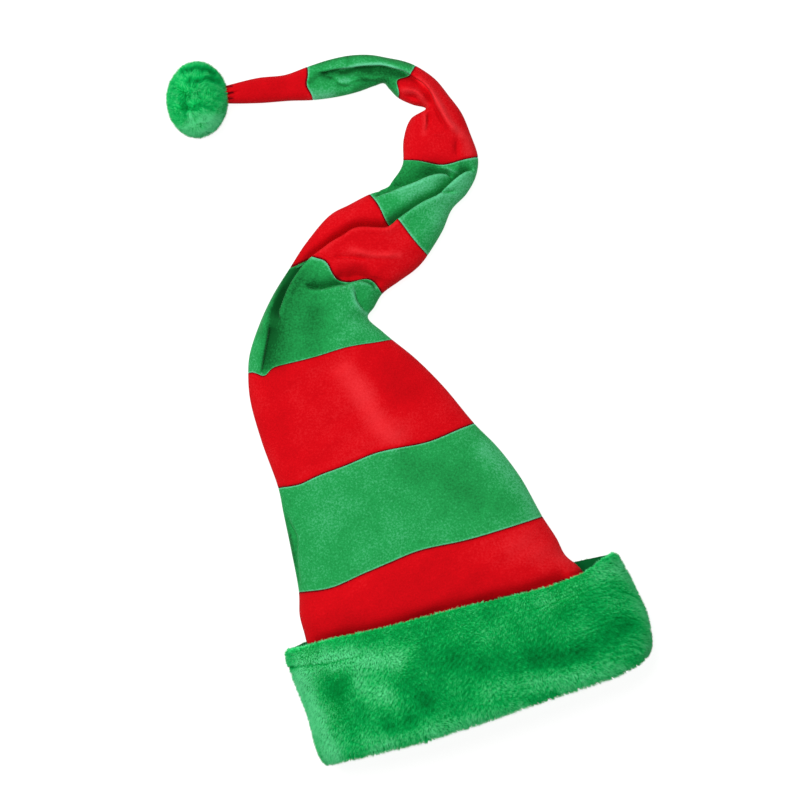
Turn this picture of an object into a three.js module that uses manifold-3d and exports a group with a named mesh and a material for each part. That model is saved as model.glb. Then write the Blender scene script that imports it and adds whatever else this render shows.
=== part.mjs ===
// A long striped stocking hat lying on its back on a table, as an elf or a helper would wear it.
// A deep plush cuff is turned up round the mouth, nine velour bands in red and green narrow to a tail
// that folds over to one side, and a plush pompom is sewn on the gathered end.
// Millimetres, +Z up, the mouth faces -Y, the pompom lies at +Y.

import * as THREE from 'three';
import { ParametricGeometry } from 'three/addons/geometries/ParametricGeometry.js';
import { LoftGeometry } from 'three/addons/geometries/LoftGeometry.js';
import { mergeVertices } from 'three/addons/utils/BufferGeometryUtils.js';
import Module from 'manifold-3d';

// Cloth and seams
const VELOUR = 2.2;
const SEAM_GAP = 0.4;
const SEWN_GAP = 0.4;

// Cross-section of a tube of cloth lying flat: a low dome over a flat underside
const SIDE_LEVEL = 0.4;
const DOME_POWER = 2.6;
const BELLY_POWER = 7;
const BELLY_FLAT = 0.4;
const BELLY_FLAT_POWER = 6;
const TOP_STEPS = 20;
const BELLY_STEPS = 12;
const AROUND = TOP_STEPS + BELLY_STEPS;
const RIM_POWER = 8;

// Shape of a fold: how sharply its banks recover, where the lifted bank crests and how wide it is, both
// in widths of the left bank, and how much of the fold is left where its two ends run out
const FOLD_POWER = 1.4;
const CREST_AT = 2.2;
const CREST_WIDE = 1.2;
const FOLD_START = 0.18;
const FOLD_END = 0.85;
const START_SHARE = 0.3;
const END_LOSS = 0.7;
const DEEPEST_SHARE = 0.8;

// Cuff
const MOUTH_Y = -303;
const CUFF_HEIGHT = 100;
const CUFF_INNER_HEIGHT = 60;
const CUFF_TOP_STEPS = 28;
const CUFF_BELLY_STEPS = 18;

// Pompom
const POMPOM_X = -87;
const POMPOM_Y = 273;
const POMPOM_Z = 26;
const POMPOM_CORE = { across: 22.5, along: 29, up: 24 };
const POMPOM_TURN = -17;
const POMPOM_DETAIL = 8;
const LOCK_COUNT = 72;
const LOCK_SPREAD = 0.27;
const LOCK_REACH = 5;
const SOCKET_SECTIONS = 2;
const SOCKET_RINGS = 6;

const WELD = 1e-3;
const PLUSH_ROUGHNESS = 0.95;
const VELOUR_ROUGHNESS = 0.85;

const RED = new THREE.Color(0.8, 0.06, 0.1);
const GREEN = new THREE.Color(0.18, 0.62, 0.33);
const PLUSH_GREEN = new THREE.Color(0.05, 0.55, 0.26);

// The crown from the seam inside the cuff to the gathered tip. Each band lists its sections from its
// lower seam on; lx, ly and rx, ry are the two edges as the hat lies, base is how far the underside is
// off the table and high how tall the tube stands there. steps is how many rings follow each section.
const BANDS = [
  {
    name: 'band_1_red', colour: RED, steps: 1, sections: [
      { lx: -131.5, ly: -242.6, rx: 123.5, ry: -242.6, base: 16.5, high: 47 },
      { lx: -132, ly: -198, rx: 106, ry: -202, base: 9, high: 54 },
      { lx: -131, ly: -171, rx: 96, ry: -172, base: 3, high: 56 },
    ],
  },
  {
    name: 'band_2_green', colour: GREEN, steps: 1, sections: [
      { lx: -126, ly: -152, rx: 90, ry: -151, base: 0, high: 55 },
      { lx: -122, ly: -117, rx: 82, ry: -114, base: 0, high: 49 },
      { lx: -119, ly: -84, rx: 71, ry: -84, base: 0, high: 45 },
    ],
  },
  {
    name: 'band_3_red', colour: RED, steps: 1, sections: [
      { lx: -117, ly: -63, rx: 58, ry: -59, base: 0, high: 42 },
      { lx: -119, ly: -20, rx: 42, ry: -21, base: 0, high: 38 },
      { lx: -118, ly: 16, rx: 26, ry: 9, base: 0, high: 36 },
    ],
  },
  {
    name: 'band_4_green', colour: GREEN, steps: 2, sections: [
      { lx: -113, ly: 38, rx: 11, ry: 30, base: 0, high: 35 },
      { lx: -108, ly: 53, rx: 5, ry: 39, base: 0, high: 35 },
      { lx: -93, ly: 75, rx: -3, ry: 54, base: 0, high: 34 },
      { lx: -75, ly: 95, rx: 5, ry: 61, base: 0, high: 33 },
    ],
  },
  {
    name: 'band_5_red', colour: RED, steps: 2, sections: [
      { lx: -53, ly: 113, rx: 15, ry: 70, base: 0, high: 32 },
      { lx: -34, ly: 129, rx: 31, ry: 76, base: 0, high: 31 },
      { lx: -7, ly: 146, rx: 46, ry: 81, base: 0, high: 30 },
      { lx: 11, ly: 149, rx: 54, ry: 85, base: 0, high: 30 },
    ],
  },
  {
    name: 'band_6_green', colour: GREEN, steps: 2, sections: [
      { lx: 30, ly: 153, rx: 61, ry: 90, base: 0, high: 30 },
      { lx: 45, ly: 154, rx: 79, ry: 106, base: 0, high: 30 },
      { lx: 52, ly: 159, rx: 92, ry: 121, base: 0, high: 30 },
      { lx: 60, ly: 165, rx: 108, ry: 130, base: 0, high: 29 },
      { lx: 64, ly: 169, rx: 120, ry: 142, base: 0, high: 29 },
    ],
  },
  {
    name: 'band_7_red', colour: RED, steps: 2, sections: [
      { lx: 66, ly: 174, rx: 126, ry: 158, base: 0, high: 28 },
      { lx: 71, ly: 189, rx: 126, ry: 177, base: 0, high: 27 },
      { lx: 82, ly: 204, rx: 124, ry: 196, base: 0, high: 26 },
      { lx: 97, ly: 209, rx: 118, ry: 213, base: 0, high: 25 },
      { lx: 88, ly: 216, rx: 111, ry: 230, base: 0, high: 25 },
    ],
  },
  {
    name: 'band_8_green', colour: GREEN, steps: 1, sections: [
      { lx: 77, ly: 224, rx: 99, ry: 246, base: 0, high: 24 },
      { lx: 72, ly: 234, rx: 90, ry: 253, base: 0, high: 23 },
      { lx: 70, ly: 243, rx: 79, ry: 259, base: 0, high: 22 },
      { lx: 60, ly: 240, rx: 65, ry: 266, base: 0, high: 22 },
      { lx: 46, ly: 241, rx: 49, ry: 271, base: 0, high: 21 },
      { lx: 29, ly: 242, rx: 31, ry: 273, base: 0, high: 20 },
    ],
  },
  {
    name: 'band_9_red', colour: RED, steps: 1, sections: [
      { lx: 8, ly: 245, rx: 11, ry: 272, base: 0, high: 19 },
      { lx: -11, ly: 251, rx: -9, ry: 271, base: 1, high: 17 },
      { lx: -36, ly: 256, rx: -32, ry: 275, base: 7, high: 16 },
      { lx: -62, ly: 261, rx: -58, ry: 276, base: 17, high: 14 },
      { lx: -70, ly: 264, rx: -67, ry: 276, base: 20, high: 12 },
    ],
  },
];

// Lobes and dips of the seams, as the slack cloth pushes them toward the tip (rise) or the mouth.
// seam counts the band that ends there, at runs from -1 on the left edge to 1 on the right edge.
const SEAM_WAVES = [
  { seam: 1, at: -0.74, rise: -4, wide: 0.22 },
  { seam: 1, at: 0, rise: 4, wide: 0.28 },
  { seam: 2, at: -0.8, rise: -2.5, wide: 0.16 },
  { seam: 2, at: 0, rise: 2.5, wide: 0.25 },
  { seam: 2, at: 0.55, rise: -2.5, wide: 0.25 },
  { seam: 3, at: -0.8, rise: -5.5, wide: 0.1 },
  { seam: 3, at: 0.4, rise: 2.2, wide: 0.35 },
  { seam: 4, at: -0.6, rise: 11, wide: 0.28 },
  { seam: 4, at: -0.28, rise: 9, wide: 0.2 },
  { seam: 4, at: 0.66, rise: 8.5, wide: 0.3 },
  { seam: 5, at: -0.52, rise: -5.5, wide: 0.24 },
  { seam: 5, at: 0, rise: 5, wide: 0.22 },
  { seam: 6, at: 0.05, rise: -5.5, wide: 0.55 },
  { seam: 7, at: -0.25, rise: 5, wide: 0.4 },
  { seam: 8, at: -0.1, rise: 3, wide: 0.5 },
];

// Folds pressed into the upper side. depth is how far the crease sinks (negative stands up as a ridge),
// left and right are how far each bank takes to recover, lift is how far the left bank bulges over it.
const FOLDS = [
  {
    name: 'side crease', depth: 9, left: 5, right: 8, lift: 1,
    path: [[-101, 34], [-93, 48], [-84, 67], [-73, 86], [-62, 101], [-52, 111]],
  },
  {
    name: 'long crease', depth: 6.5, left: 7, right: 8, lift: 1,
    path: [
      [-51, 111], [-30, 125], [-3, 132], [23, 128], [42, 128],
      [69, 135], [92, 142], [109, 149], [119, 152],
    ],
  },
  {
    name: 'deep end of the long crease', depth: 3.5, left: 7, right: 6, lift: 1,
    path: [[34, 126], [55, 133], [69, 135], [85, 138], [101, 146]],
  },
  {
    name: 'left lobe', depth: 7, left: 3, right: 7, lift: 3,
    path: [[-45, 96], [-35, 91], [-25, 90], [-17, 91]],
  },
  {
    name: 'right lobe', depth: 6, left: 3, right: 7, lift: 2,
    path: [[15, 73], [12, 82], [3, 88], [-7, 89], [-18, 90]],
  },
  {
    name: 'corner tuck', depth: 8, left: 3, right: 8, lift: 1.5,
    path: [[-2, 55], [-6, 62], [-7, 71], [-7, 79]],
  },
  {
    name: 'upper crease', depth: 7, left: 5, right: 11, lift: 1,
    path: [[106, 146], [102, 149], [93, 155], [80, 156], [66, 155], [48, 154]],
  },
  {
    name: 'pinch ray', depth: 5, left: 4, right: 6, lift: 0,
    path: [[99, 209], [100, 198], [99, 185]],
  },
  {
    name: 'outer ridge', depth: -3, left: 5, right: 5, lift: 0,
    path: [[98, 234], [104, 221], [109, 208], [110, 195], [114, 180]],
  },
  {
    name: 'outer strip', depth: 7, left: 2.5, right: 6, lift: 2,
    path: [[14, 260], [36, 259], [58, 257], [68, 255], [78, 250], [85, 244], [92, 239]],
  },
  {
    name: 'middle hollow', depth: 3, left: 9, right: 9, lift: 0,
    path: [[-54, 45], [-48, 58], [-41, 72]],
  },
];

// Stations of the cuff's section, from its upper edge down the outside, round the lower fold and up the
// inside to the sewn edge, then back between the two layers. y is the height above the mouth.
const CUFF_STATIONS = [
  { y: 100, lx: -148.5, rx: 139, base: 4, high: 68 },
  { y: 97, lx: -151.5, rx: 142, base: 1, high: 74 },
  { y: 88, lx: -152.3, rx: 145, base: 0, high: 76.5 },
  { y: 83, lx: -150.8, rx: 145, base: 0.8, high: 75 },
  { y: 78, lx: -152.5, rx: 147.5, base: 0, high: 78 },
  { y: 50, lx: -151, rx: 152, base: 0, high: 80 },
  { y: 22, lx: -152, rx: 151.5, base: 0, high: 79 },
  { y: 8, lx: -151.5, rx: 150, base: 1.2, high: 75 },
  { y: 0, lx: -145, rx: 142, base: 8, high: 60 },
  { y: 8, lx: -136.5, rx: 131, base: 15, high: 48 },
  { y: 22, lx: -134, rx: 131, base: 18, high: 44 },
  { y: CUFF_INNER_HEIGHT, lx: -128, rx: 120, base: 20, high: 42 },
  { y: CUFF_INNER_HEIGHT, lx: -134.5, rx: 126.5, base: 13.5, high: 55 },
  { y: 22, lx: -141, rx: 139, base: 11, high: 57.5 },
  { y: 13, lx: -142.5, rx: 141.5, base: 9.5, high: 60.5 },
  { y: 22, lx: -144, rx: 143.5, base: 8, high: 63 },
  { y: 90, lx: -144.3, rx: 136.5, base: 8, high: 61 },
  { y: 97, lx: -145.5, rx: 136, base: 7, high: 62 },
];
const CUFF_OUTER_LAST = 8;
const CUFF_OUTER_BACK = 15;

// How the cuff's edges wander: at runs from -1 to 1 across, front and back are the upper edge of the two
// layers as they lie, mouth is the lower fold.
const CUFF_EDGES = [
  { at: -1, mouth: 3, front: 5, back: 8 },
  { at: -0.75, mouth: 1, front: 4, back: 12 },
  { at: -0.4, mouth: -1.5, front: 0, back: 11 },
  { at: 0, mouth: 0, front: -3, back: 10 },
  { at: 0.4, mouth: 2.5, front: -5, back: 10 },
  { at: 0.6, mouth: 3, front: -5, back: 10 },
  { at: 0.8, mouth: 3, front: 2, back: 9 },
  { at: 1, mouth: 10, front: 6, back: 7 },
];

const clamp = THREE.MathUtils.clamp;
const lerp = THREE.MathUtils.lerp;
const smooth = THREE.MathUtils.smoothstep;

// Rails of the crown: both edges and the height, smooth through every section
const ALL_SECTIONS = BANDS.flatMap((band) => band.sections);
const LAST = ALL_SECTIONS.length - 1;
const leftRail = new THREE.CatmullRomCurve3(ALL_SECTIONS.map((s) => new THREE.Vector3(s.lx, s.ly, 0)));
const rightRail = new THREE.CatmullRomCurve3(ALL_SECTIONS.map((s) => new THREE.Vector3(s.rx, s.ry, 0)));
const heightRail = new THREE.CatmullRomCurve3(ALL_SECTIONS.map((s) => new THREE.Vector3(s.base, s.high, 0)));

function railPoint(rail, station) {
  return rail.getPoint(clamp(station / LAST, 0, 1));
}

// Station of each seam, counted in sections from the lower edge
const SEAM_STATIONS = [];
BANDS.reduce((count, band) => {
  SEAM_STATIONS.push(count);
  return count + band.sections.length;
}, 0);
SEAM_STATIONS.push(LAST);

// Distance from a fold's path, positive on its left, and how strong the fold is at that place
function foldHeight(fold, x, y) {
  let best = null;
  let run = 0;
  const spans = [];
  for (let i = 0; i + 1 < fold.path.length; i += 1) {
    const [ax, ay] = fold.path[i];
    const [bx, by] = fold.path[i + 1];
    const length = Math.hypot(bx - ax, by - ay);
    spans.push({ ax, ay, dx: (bx - ax) / length, dy: (by - ay) / length, length, start: run });
    run += length;
  }
  for (const span of spans) {
    const along = clamp((x - span.ax) * span.dx + (y - span.ay) * span.dy, 0, span.length);
    const ox = x - span.ax - along * span.dx;
    const oy = y - span.ay - along * span.dy;
    const away = Math.hypot(ox, oy);
    if (best === null || away < best.away) {
      best = { away, left: span.dx * oy - span.dy * ox >= 0, place: (span.start + along) / run };
    }
  }
  const ends = smooth(best.place, 0, FOLD_START) * (1 - END_LOSS * smooth(best.place, FOLD_END, 1));
  const reach = best.left ? fold.left : fold.right;
  const sink = -fold.depth * Math.exp(-Math.pow(best.away / reach, FOLD_POWER));
  const fromCrest = (best.away / reach - CREST_AT) / CREST_WIDE;
  const crest = best.left ? fold.lift * Math.exp(-fromCrest * fromCrest) : 0;
  return (sink + crest) * lerp(START_SHARE, 1, ends);
}

// Height of a flat-lying tube at a place across it, on its upper side or on its underside
function tubeHeight(across, upper, base, high) {
  const side = SIDE_LEVEL * high;
  if (upper) {
    return base + side + (high - side) * Math.sqrt(Math.max(0, 1 - Math.pow(Math.abs(across), DOME_POWER)));
  }
  const belly = side * (1 - Math.sqrt(Math.max(0, 1 - Math.pow(Math.abs(across), BELLY_POWER))));
  return base + Math.max(0, belly - BELLY_FLAT * (1 - Math.pow(across, BELLY_FLAT_POWER)));
}

// Where the j-th point of a ring lies: across from -1 to 1, and on which side
function ringPlace(j, topSteps, bellySteps) {
  const k = j % (topSteps + bellySteps);
  if (k <= topSteps) {
    return { across: Math.sin(Math.PI * (k / topSteps - 0.5)), upper: true };
  }
  return { across: Math.sin(Math.PI * (0.5 - (k - topSteps) / bellySteps)), upper: false };
}

// A point of the crown's wall; inset is 0 on the outside and the cloth's thickness on the inside
function crownPoint(station, j, inset) {
  const { across, upper } = ringPlace(j, TOP_STEPS, BELLY_STEPS);
  const left = railPoint(leftRail, station);
  const right = railPoint(rightRail, station);
  const size = railPoint(heightRail, station);
  const width = left.distanceTo(right);
  const ahead = new THREE.Vector2(left.y - right.y, right.x - left.x).divideScalar(width);
  let push = 0;
  for (const wave of SEAM_WAVES) {
    const near = 1 - smooth(Math.abs(station - SEAM_STATIONS[wave.seam]), 0, 1);
    push += near * wave.rise * Math.exp(-Math.pow((across - wave.at) / wave.wide, 2));
  }
  const offRim = 1 - Math.pow(across, RIM_POWER);
  push *= offRim;
  const place = (part) => lerp(left[part], right[part], 0.5 + 0.5 * across * (1 - (2 * inset) / width));
  const x = place('x') + push * ahead.x;
  const y = place('y') + push * ahead.y;
  let z = tubeHeight(across, upper, size.x + inset, size.y - 2 * inset);
  if (upper) {
    const outerX = lerp(left.x, right.x, 0.5 + 0.5 * across) + push * ahead.x;
    const outerY = lerp(left.y, right.y, 0.5 + 0.5 * across) + push * ahead.y;
    let sink = 0;
    for (const fold of FOLDS) {
      sink += foldHeight(fold, outerX, outerY);
    }
    const room = tubeHeight(across, true, 0, size.y) - SIDE_LEVEL * size.y;
    z += Math.max(sink, -DEEPEST_SHARE * room) * offRim;
  }
  return new THREE.Vector3(x, y, z);
}

// A band's wall as one closed skin: rings up the outside, then back down the inside
function bandGeometry(index) {
  const band = BANDS[index];
  const from = SEAM_STATIONS[index];
  const to = SEAM_STATIONS[index + 1];
  const rings = (to - from) * band.steps;
  const loop = [];
  for (let i = 0; i <= rings; i += 1) {
    loop.push({ station: from + i / band.steps, trim: i === 0 ? 1 : i === rings ? -1 : 0, inset: 0 });
  }
  for (let i = rings; i >= 0; i -= 1) {
    loop.push({ station: from + i / band.steps, trim: i === 0 ? 1 : i === rings ? -1 : 0, inset: VELOUR });
  }
  const skin = (u, v, target) => {
    const j = Math.round(u * AROUND);
    const ring = loop[Math.round(v * loop.length) % loop.length];
    const point = crownPoint(ring.station, j, ring.inset);
    if (ring.trim !== 0) {
      const inward = crownPoint(ring.station + 0.5 * ring.trim, j, ring.inset).sub(point);
      point.addScaledVector(inward.normalize(), 0.5 * SEAM_GAP);
    }
    target.copy(point);
  };
  return new ParametricGeometry(skin, AROUND, loop.length);
}

// The cuff's wandering edges at a place across it
function cuffEdge(across, column) {
  for (let i = 0; i + 1 < CUFF_EDGES.length; i += 1) {
    const a = CUFF_EDGES[i];
    const b = CUFF_EDGES[i + 1];
    if (across <= b.at) {
      return lerp(a[column], b[column], smooth(across, a.at, b.at));
    }
  }
  return CUFF_EDGES[CUFF_EDGES.length - 1][column];
}

function cuffGeometry() {
  const around = CUFF_TOP_STEPS + CUFF_BELLY_STEPS;
  const skin = (u, v, target) => {
    const { across, upper } = ringPlace(Math.round(u * around), CUFF_TOP_STEPS, CUFF_BELLY_STEPS);
    const index = Math.round((1 - v) * CUFF_STATIONS.length) % CUFF_STATIONS.length;
    const ring = CUFF_STATIONS[index];
    const outerLayer = index <= CUFF_OUTER_LAST || index >= CUFF_OUTER_BACK;
    const level = upper ? 1 : 0;
    const top = lerp(cuffEdge(across, 'back'), cuffEdge(across, 'front'), level);
    const mouth = cuffEdge(across, 'mouth') * (1 - smooth(ring.y, 0, CUFF_INNER_HEIGHT));
    const edge = outerLayer ? top * smooth(ring.y, CUFF_INNER_HEIGHT, CUFF_HEIGHT) : 0;
    target.set(
      lerp(ring.lx, ring.rx, 0.5 + 0.5 * across),
      MOUTH_Y + ring.y + mouth + edge,
      tubeHeight(across, upper, ring.base, ring.high),
    );
  };
  return new ParametricGeometry(skin, around, CUFF_STATIONS.length);
}

const wasm = await Module();
wasm.setup();

function toSolid(geometry) {
  const bare = new THREE.BufferGeometry();
  bare.setAttribute('position', geometry.getAttribute('position'));
  if (geometry.getIndex() !== null) {
    bare.setIndex(geometry.getIndex());
  }
  const merged = mergeVertices(bare, WELD);
  return new wasm.Manifold(new wasm.Mesh({
    numProp: 3,
    vertProperties: new Float32Array(merged.getAttribute('position').array),
    triVerts: new Uint32Array(merged.getIndex().array),
  }));
}

function toGeometry(solid) {
  const mesh = solid.getMesh();
  const geometry = new THREE.BufferGeometry();
  const corners = new Float32Array(mesh.numVert * 3);
  for (let i = 0; i < mesh.numVert; i += 1) {
    for (let k = 0; k < 3; k += 1) {
      corners[i * 3 + k] = mesh.vertProperties[i * mesh.numProp + k];
    }
  }
  geometry.setAttribute('position', new THREE.BufferAttribute(corners, 3));
  geometry.setIndex(new THREE.BufferAttribute(new Uint32Array(mesh.triVerts), 1));
  geometry.computeVertexNormals();
  return geometry;
}

// Locks of plush stand all over the ball, spread on a golden-angle spiral, and the ball is pressed flat
// where it rests on the table. The gathered tip of the tail goes into a socket in its side.
function pompomGeometry() {
  const golden = Math.PI * (3 - Math.sqrt(5));
  const locks = [];
  for (let i = 0; i < LOCK_COUNT; i += 1) {
    const level = 1 - (2 * (i + 0.5)) / LOCK_COUNT;
    const round = Math.sqrt(1 - level * level);
    locks.push(new THREE.Vector3(round * Math.cos(golden * i), round * Math.sin(golden * i), level));
  }
  const ball = new THREE.IcosahedronGeometry(1, POMPOM_DETAIL);
  const corners = ball.getAttribute('position');
  const corner = new THREE.Vector3();
  for (let i = 0; i < corners.count; i += 1) {
    corner.fromBufferAttribute(corners, i).normalize();
    const away = Math.min(...locks.map((lock) => lock.angleTo(corner)));
    const out = LOCK_REACH * Math.max(0, 1 - away / LOCK_SPREAD);
    corners.setXYZ(
      i,
      corner.x * (POMPOM_CORE.across + out),
      corner.y * (POMPOM_CORE.along + out),
      Math.max(corner.z * (POMPOM_CORE.up + out), -POMPOM_Z),
    );
  }
  ball.rotateZ(THREE.MathUtils.degToRad(POMPOM_TURN));
  ball.translate(POMPOM_X, POMPOM_Y, POMPOM_Z);
  const sections = [];
  for (let i = 0; i <= SOCKET_RINGS; i += 1) {
    const station = LAST - SOCKET_SECTIONS * (1 - i / SOCKET_RINGS);
    const ring = [];
    for (let j = 0; j < AROUND; j += 1) {
      ring.push(crownPoint(station, j, -SEWN_GAP));
    }
    if (i === SOCKET_RINGS) {
      const inward = crownPoint(LAST - 0.5, 0, 0).sub(crownPoint(LAST, 0, 0)).normalize();
      ring.forEach((point) => point.addScaledVector(inward, -SEWN_GAP));
    }
    sections.push(ring);
  }
  const plug = new LoftGeometry(sections, { closed: true, capStart: true, capEnd: true });
  return toGeometry(toSolid(ball).subtract(toSolid(plug)));
}

function clothMesh(name, geometry, colour, roughness) {
  const cloth = new THREE.MeshStandardMaterial({ color: colour, roughness, metalness: 0 });
  const mesh = new THREE.Mesh(geometry, cloth);
  mesh.name = name;
  return mesh;
}

const hat = new THREE.Group();
hat.name = 'striped_hat';
hat.add(clothMesh('cuff', cuffGeometry(), PLUSH_GREEN, PLUSH_ROUGHNESS));
BANDS.forEach((band, index) => {
  hat.add(clothMesh(band.name, bandGeometry(index), band.colour, VELOUR_ROUGHNESS));
});
hat.add(clothMesh('pompom', pompomGeometry(), PLUSH_GREEN, PLUSH_ROUGHNESS));

export default hat;
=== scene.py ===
import math

import bmesh
import bpy
import numpy as np
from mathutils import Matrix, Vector, kdtree


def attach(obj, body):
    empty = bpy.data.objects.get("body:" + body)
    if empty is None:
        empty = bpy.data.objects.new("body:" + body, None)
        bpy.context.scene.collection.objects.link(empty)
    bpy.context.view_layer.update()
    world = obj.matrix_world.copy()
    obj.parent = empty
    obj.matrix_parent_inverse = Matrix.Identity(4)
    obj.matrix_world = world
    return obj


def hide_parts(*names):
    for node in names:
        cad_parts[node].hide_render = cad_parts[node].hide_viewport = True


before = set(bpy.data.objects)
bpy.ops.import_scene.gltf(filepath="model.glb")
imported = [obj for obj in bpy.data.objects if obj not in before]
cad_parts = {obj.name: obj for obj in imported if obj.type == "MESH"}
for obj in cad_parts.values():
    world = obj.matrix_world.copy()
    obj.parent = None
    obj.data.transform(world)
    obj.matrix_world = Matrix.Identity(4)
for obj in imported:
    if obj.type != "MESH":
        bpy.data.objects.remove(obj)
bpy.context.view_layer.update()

# Crown bands
# Nine rings of knitted velour, red and green in turn, sewn edge to edge into one long tapering bag. The bag
# lies slack on its back: it slumps, folds over above the fourth band and runs off to one side in a tail.
MM = 0.001
VELOUR = 2.2
SEAM_GAP = 0.05
SEAM_TURN = 0.4
SEAM_SOFT = 0.2
SEAM_ROWS = (0, 0.12, 0.35, 0.8, 1.8)
SIDE_LEVEL = 0.4
DOME_POWER = 3
BELLY_POWER = 7

# Tone at a band's edges and how far in it reaches: paler along green seams; painted shade along red seams,
# where the cloth dips in, and along red sides, where it turns under.
GREEN_SEAM_TONE = (1.1, 0.9)
RED_SEAM_SHADE = (-1.6, 1.4)
RED_SIDE_SHADE = (-0.5, 0.8)
UNDERSIDE_FADE = 120

# Each band's mesh pitch, the lower edge, upper edge and height of the strip that it is cut from, then its
# sections from the lower seam on: the left and right edges as the hat lies, how far the underside is off the
# table, and how tall the tube stands there.
BANDS = (
    ("band_1_red", 2.2, (536, 477, 100), (
        (-130.6, -246.5, 122.2, -246.5, 17.3, 46),
        (-132, -198, 107.6, -202, 10.8, 52.2),
        (-131.6, -186, 98.8, -187.5, 7.4, 54),
        (-131, -171, 96, -172, 3, 56))),
    ("band_2_green", 2.2, (477, 384, 92), (
        (-126, -152, 90, -151, 0, 55),
        (-122, -117, 82, -114, 0, 49),
        (-119, -84, 71, -84, 0, 45))),
    ("band_3_red", 2.1, (384, 285, 98), (
        (-117, -63, 58, -59, 0, 42),
        (-119, -20, 42, -21, 0, 38),
        (-118, 16, 26, 9, 0, 36))),
    ("band_4_green", 1.1, (285, 226, 72), (
        (-113, 38, 12, 29.6, 0, 35),
        (-107.2, 52.6, 6.2, 38.6, 0, 35),
        (-92, 74.4, -2, 53.6, 0, 34),
        (-74.2, 94.4, 5.4, 60, 0, 33))),
    ("band_5_red", 1.05, (226, 203, 64), (
        (-53, 113, 15.4, 68.9, 0, 32),
        (-34, 129, 31.5, 74.7, 0, 31),
        (-7, 146, 46.5, 79.7, 0, 30),
        (11, 149.6, 54.6, 83.8, 0, 30))),
    ("band_6_green", 1.0, (203, 156, 69), (
        (30, 153, 61.8, 89, 0, 30),
        (45, 153.4, 79.9, 105.1, 0, 30),
        (52.4, 158.6, 92.9, 120.2, 0, 30),
        (60.4, 164.8, 108.6, 129.2, 0, 29),
        (64, 169, 120.8, 141.5, 0, 29))),
    ("band_7_red", 1.0, (156, 111, 79), (
        (65.5, 172, 127, 156, 0, 28),
        (71, 189, 126.6, 177, 0, 27),
        (82, 204, 124.6, 196.2, 0, 26),
        (96.6, 208.6, 118.6, 213.3, 0, 25),
        (87.2, 214.8, 111.5, 230.4, 0, 25))),
    ("band_8_green", 0.9, (111, 79, 84), (
        (77, 224, 99, 246, 0, 24),
        (71.8, 233.8, 90, 253, 0, 23),
        (69, 239.4, 79, 259, 0, 22),
        (60.6, 239.7, 65, 266, 0, 22),
        (46, 239, 49, 270.5, 0, 21),
        (28.6, 240, 31, 272.3, 0, 20))),
    ("band_9_red", 0.8, (79, 41, 83), (
        (7.5, 243.5, 11, 272, 0, 19),
        (-11.5, 248.6, -9, 271, 1, 17),
        (-36.5, 254, -32, 275, 7, 16),
        (-62, 261, -58, 276, 17, 14),
        (-70, 264, -67, 276, 20, 12))),
)

# Lobes and dips of the seams: which seam, where across it (-1 left edge, 1 right edge), how far it is pushed
# toward the tip, and how wide it is to the left and to the right.
SEAM_WAVES = (
    (1, -0.74, -4, 0.22, 0.22), (1, 0, 4, 0.28, 0.28),
    (2, -0.8, -2.5, 0.16, 0.16), (2, 0, 2.5, 0.25, 0.25), (2, 0.55, -2.5, 0.25, 0.25),
    (3, -0.8, -5.5, 0.1, 0.1), (3, 0.4, 2.2, 0.35, 0.35),
    (4, -0.6, 11, 0.28, 0.28), (4, -0.28, 9, 0.2, 0.2), (4, 0.66, 8.5, 0.3, 0.3),
    (5, -0.11, -6.5, 0.45, 0.03), (5, -0.05, 2.4, 0.03, 0.42),
    (6, 0.05, -5.5, 0.55, 0.55), (7, -0.22, 7.5, 0.42, 0.4), (8, -0.1, 3, 0.5, 0.5),
)

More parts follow.
